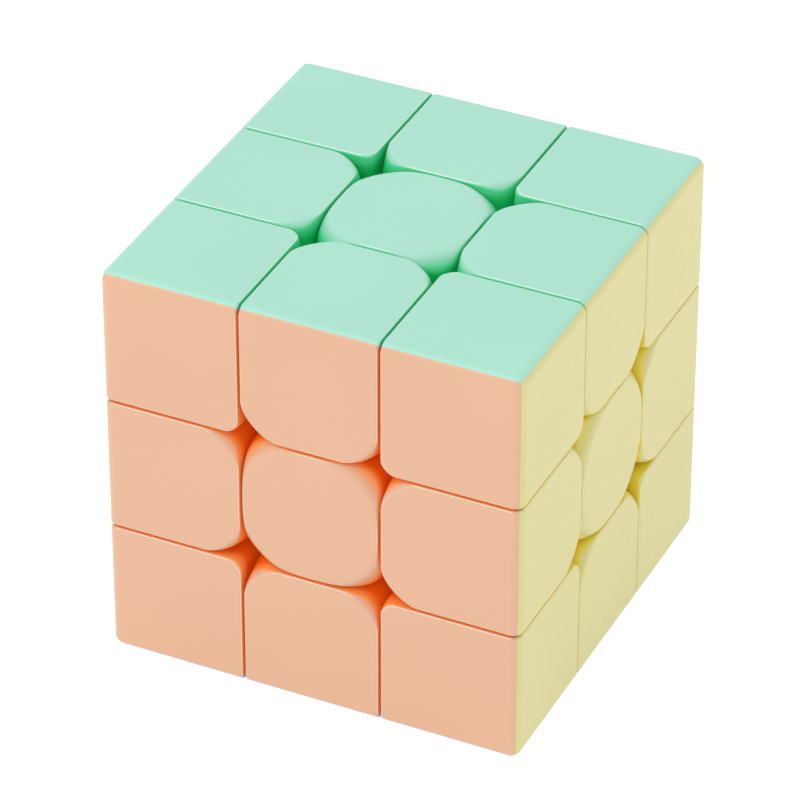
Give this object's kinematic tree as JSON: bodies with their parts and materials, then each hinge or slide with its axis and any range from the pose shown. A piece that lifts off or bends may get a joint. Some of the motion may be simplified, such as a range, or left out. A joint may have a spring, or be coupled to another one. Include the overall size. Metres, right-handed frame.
{
  "type": "cube twisty puzzle",
  "caption": "Stickerless pastel cube puzzle whose six faces turn on a sprung spider core, with interlocking corner, edge and centre pieces.",
  "frame": {"origin": "centre of the core, which is the centre of the cube", "axes": "+Z out of the mint top face, -Y out of the peach front face, +X out of the yellow right face"},
  "size_m": [0.056, 0.056, 0.056],
  "materials": {
    "mint_plastic": "satin moulded ABS",
    "peach_plastic": "satin moulded ABS",
    "yellow_plastic": "satin moulded ABS",
    "blue_plastic": "satin moulded ABS",
    "pink_plastic": "satin moulded ABS",
    "white_plastic": "satin moulded ABS",
    "inner_plastic": "satin moulded ABS, unpigmented",
    "core_plastic": "satin moulded nylon",
    "screw_steel": "zinc-plated steel",
    "spring_steel": "drawn spring steel"
  },
  "bodies": {
    "core": {"core": "core_plastic", "tension_screws": "screw_steel", "screw_washers": "screw_steel", "tension_springs": "spring_steel"},
    "centre_top": {"centre_top_housing": "inner_plastic"},
    "cap_top": {"centre_top_cap": "mint_plastic"},
    "centre_bottom": {"centre_bottom_housing": "inner_plastic"},
    "cap_bottom": {"centre_bottom_cap": "blue_plastic"},
    "centre_front": {"centre_front_housing": "inner_plastic"},
    "cap_front": {"centre_front_cap": "peach_plastic"},
    "centre_back": {"centre_back_housing": "inner_plastic"},
    "cap_back": {"centre_back_cap": "pink_plastic"},
    "centre_left": {"centre_left_housing": "inner_plastic"},
    "cap_left": {"centre_left_cap": "white_plastic"},
    "centre_right": {"centre_right_housing": "inner_plastic"},
    "cap_right": {"centre_right_cap": "yellow_plastic"},
    "edge_top_front": {"edge_top_front_shells": "mint_plastic", "edge_top_front_foot": "inner_plastic"},
    "edge_top_back": {"edge_top_back_shells": "mint_plastic", "edge_top_back_foot": "inner_plastic"},
    "edge_top_left": {"edge_top_left_shells": "mint_plastic", "edge_top_left_foot": "inner_plastic"},
    "edge_top_right": {"edge_top_right_shells": "mint_plastic", "edge_top_right_foot": "inner_plastic"},
    "edge_bottom_front": {"edge_bottom_front_shells": "blue_plastic", "edge_bottom_front_foot": "inner_plastic"},
    "edge_bottom_back": {"edge_bottom_back_shells": "blue_plastic", "edge_bottom_back_foot": "inner_plastic"},
    "edge_bottom_left": {"edge_bottom_left_shells": "blue_plastic", "edge_bottom_left_foot": "inner_plastic"},
    "edge_bottom_right": {"edge_bottom_right_shells": "blue_plastic", "edge_bottom_right_foot": "inner_plastic"},
    "edge_front_left": {"edge_front_left_shells": "peach_plastic", "edge_front_left_foot": "inner_plastic"},
    "edge_front_right": {"edge_front_right_shells": "peach_plastic", "edge_front_right_foot": "inner_plastic"},
    "edge_back_left": {"edge_back_left_shells": "pink_plastic", "edge_back_left_foot": "inner_plastic"},
    "edge_back_right": {"edge_back_right_shells": "pink_plastic", "edge_back_right_foot": "inner_plastic"},
    "corner_top_front_left": {"corner_top_front_left_shells": "mint_plastic", "corner_top_front_left_foot": "inner_plastic"},
    "corner_top_front_right": {"corner_top_front_right_shells": "mint_plastic", "corner_top_front_right_foot": "inner_plastic"},
    "corner_top_back_left": {"corner_top_back_left_shells": "mint_plastic", "corner_top_back_left_foot": "inner_plastic"},
    "corner_top_back_right": {"corner_top_back_right_shells": "mint_plastic", "corner_top_back_right_foot": "inner_plastic"},
    "corner_bottom_front_left": {"corner_bottom_front_left_shells": "blue_plastic", "corner_bottom_front_left_foot": "inner_plastic"},
    "corner_bottom_front_right": {"corner_bottom_front_right_shells": "blue_plastic", "corner_bottom_front_right_foot": "inner_plastic"},
    "corner_bottom_back_left": {"corner_bottom_back_left_shells": "blue_plastic", "corner_bottom_back_left_foot": "inner_plastic"},
    "corner_bottom_back_right": {"corner_bottom_back_right_shells": "blue_plastic", "corner_bottom_back_right_foot": "inner_plastic"}
  },
  "joints": [
    {"name": "top_turn", "type": "hinge", "parent": "core", "child": "centre_top", "pos_m": [0, 0, 0], "axis": [0, 0, 1], "continuous": true},
    {"name": "bottom_turn", "type": "hinge", "parent": "core", "child": "centre_bottom", "pos_m": [0, 0, 0], "axis": [0, 0, 1], "continuous": true},
    {"name": "front_turn", "type": "hinge", "parent": "core", "child": "centre_front", "pos_m": [0, 0, 0], "axis": [0, 1, 0], "continuous": true},
    {"name": "back_turn", "type": "hinge", "parent": "core", "child": "centre_back", "pos_m": [0, 0, 0], "axis": [0, 1, 0], "continuous": true},
    {"name": "left_turn", "type": "hinge", "parent": "core", "child": "centre_left", "pos_m": [0, 0, 0], "axis": [1, 0, 0], "continuous": true},
    {"name": "right_turn", "type": "hinge", "parent": "core", "child": "centre_right", "pos_m": [0, 0, 0], "axis": [1, 0, 0], "continuous": true},
    {"name": "top_cap_lift", "type": "slide", "parent": "centre_top", "child": "cap_top", "axis": [0, 0, 1], "range_m": [0, 0.01]},
    {"name": "bottom_cap_lift", "type": "slide", "parent": "centre_bottom", "child": "cap_bottom", "axis": [0, 0, -1], "range_m": [0, 0.01]},
    {"name": "front_cap_lift", "type": "slide", "parent": "centre_front", "child": "cap_front", "axis": [0, -1, 0], "range_m": [0, 0.01]},
    {"name": "back_cap_lift", "type": "slide", "parent": "centre_back", "child": "cap_back", "axis": [0, 1, 0], "range_m": [0, 0.01]},
    {"name": "left_cap_lift", "type": "slide", "parent": "centre_left", "child": "cap_left", "axis": [-1, 0, 0], "range_m": [0, 0.01]},
    {"name": "right_cap_lift", "type": "slide", "parent": "centre_right", "child": "cap_right", "axis": [1, 0, 0], "range_m": [0, 0.01]},
    {"name": "edge_top_front_turn", "type": "hinge", "parent": "centre_front", "child": "edge_top_front", "pos_m": [0, 0, 0], "axis": [0, 0, 1], "continuous": true},
    {"name": "edge_top_back_turn", "type": "hinge", "parent": "centre_back", "child": "edge_top_back", "pos_m": [0, 0, 0], "axis": [0, 0, 1], "continuous": true},
    {"name": "edge_top_left_turn", "type": "hinge", "parent": "centre_top", "child": "edge_top_left", "pos_m": [0, 0, 0], "axis": [1, 0, 0], "continuous": true},
    {"name": "edge_top_right_turn", "type": "hinge", "parent": "centre_top", "child": "edge_top_right", "pos_m": [0, 0, 0], "axis": [1, 0, 0], "continuous": true},
    {"name": "edge_bottom_front_turn", "type": "hinge", "parent": "centre_front", "child": "edge_bottom_front", "pos_m": [0, 0, 0], "axis": [0, 0, 1], "continuous": true},
    {"name": "edge_bottom_back_turn", "type": "hinge", "parent": "centre_back", "child": "edge_bottom_back", "pos_m": [0, 0, 0], "axis": [0, 0, 1], "continuous": true},
    {"name": "edge_bottom_left_turn", "type": "hinge", "parent": "centre_bottom", "child": "edge_bottom_left", "pos_m": [0, 0, 0], "axis": [1, 0, 0], "continuous": true},
    {"name": "edge_bottom_right_turn", "type": "hinge", "parent": "centre_bottom", "child": "edge_bottom_right", "pos_m": [0, 0, 0], "axis": [1, 0, 0], "continuous": true},
    {"name": "edge_front_left_turn", "type": "hinge", "parent": "centre_left", "child": "edge_front_left", "pos_m": [0, 0, 0], "axis": [0, 1, 0], "continuous": true},
    {"name": "edge_front_right_turn", "type": "hinge", "parent": "centre_right", "child": "edge_front_right", "pos_m": [0, 0, 0], "axis": [0, 1, 0], "continuous": true},
    {"name": "edge_back_left_turn", "type": "hinge", "parent": "centre_left", "child": "edge_back_left", "pos_m": [0, 0, 0], "axis": [0, 1, 0], "continuous": true},
    {"name": "edge_back_right_turn", "type": "hinge", "parent": "centre_right", "child": "edge_back_right", "pos_m": [0, 0, 0], "axis": [0, 1, 0], "continuous": true},
    {"name": "corner_top_front_left_turn", "type": "hinge", "parent": "edge_top_front", "child": "corner_top_front_left", "pos_m": [0, 0, 0], "axis": [1, 0, 0], "continuous": true},
    {"name": "corner_top_front_right_turn", "type": "hinge", "parent": "edge_top_front", "child": "corner_top_front_right", "pos_m": [0, 0, 0], "axis": [1, 0, 0], "continuous": true},
    {"name": "corner_top_back_left_turn", "type": "hinge", "parent": "edge_top_back", "child": "corner_top_back_left", "pos_m": [0, 0, 0], "axis": [1, 0, 0], "continuous": true},
    {"name": "corner_top_back_right_turn", "type": "hinge", "parent": "edge_top_back", "child": "corner_top_back_right", "pos_m": [0, 0, 0], "axis": [1, 0, 0], "continuous": true},
    {"name": "corner_bottom_front_left_turn", "type": "hinge", "parent": "edge_bottom_front", "child": "corner_bottom_front_left", "pos_m": [0, 0, 0], "axis": [1, 0, 0], "continuous": true},
    {"name": "corner_bottom_front_right_turn", "type": "hinge", "parent": "edge_bottom_front", "child": "corner_bottom_front_right", "pos_m": [0, 0, 0], "axis": [1, 0, 0], "continuous": true},
    {"name": "corner_bottom_back_left_turn", "type": "hinge", "parent": "edge_bottom_back", "child": "corner_bottom_back_left", "pos_m": [0, 0, 0], "axis": [1, 0, 0], "continuous": true},
    {"name": "corner_bottom_back_right_turn", "type": "hinge", "parent": "edge_bottom_back", "child": "corner_bottom_back_right", "pos_m": [0, 0, 0], "axis": [1, 0, 0], "continuous": true}
  ],
  "couplings": [
    {"joint": "edge_top_front_turn", "follows": "top_turn", "ratio": 1},
    {"joint": "edge_top_back_turn", "follows": "top_turn", "ratio": 1},
    {"joint": "edge_top_left_turn", "follows": "left_turn", "ratio": 1},
    {"joint": "edge_top_right_turn", "follows": "right_turn", "ratio": 1},
    {"joint": "edge_bottom_front_turn", "follows": "bottom_turn", "ratio": 1},
    {"joint": "edge_bottom_back_turn", "follows": "bottom_turn", "ratio": 1},
    {"joint": "edge_bottom_left_turn", "follows": "left_turn", "ratio": 1},
    {"joint": "edge_bottom_right_turn", "follows": "right_turn", "ratio": 1},
    {"joint": "edge_front_left_turn", "follows": "front_turn", "ratio": 1},
    {"joint": "edge_front_right_turn", "follows": "front_turn", "ratio": 1},
    {"joint": "edge_back_left_turn", "follows": "back_turn", "ratio": 1},
    {"joint": "edge_back_right_turn", "follows": "back_turn", "ratio": 1},
    {"joint": "corner_top_front_left_turn", "follows": "left_turn", "ratio": 1},
    {"joint": "corner_top_front_right_turn", "follows": "right_turn", "ratio": 1},
    {"joint": "corner_top_back_left_turn", "follows": "left_turn", "ratio": 1},
    {"joint": "corner_top_back_right_turn", "follows": "right_turn", "ratio": 1},
    {"joint": "corner_bottom_front_left_turn", "follows": "left_turn", "ratio": 1},
    {"joint": "corner_bottom_front_right_turn", "follows": "right_turn", "ratio": 1},
    {"joint": "corner_bottom_back_left_turn", "follows": "left_turn", "ratio": 1},
    {"joint": "corner_bottom_back_right_turn", "follows": "right_turn", "ratio": 1}
  ]
}
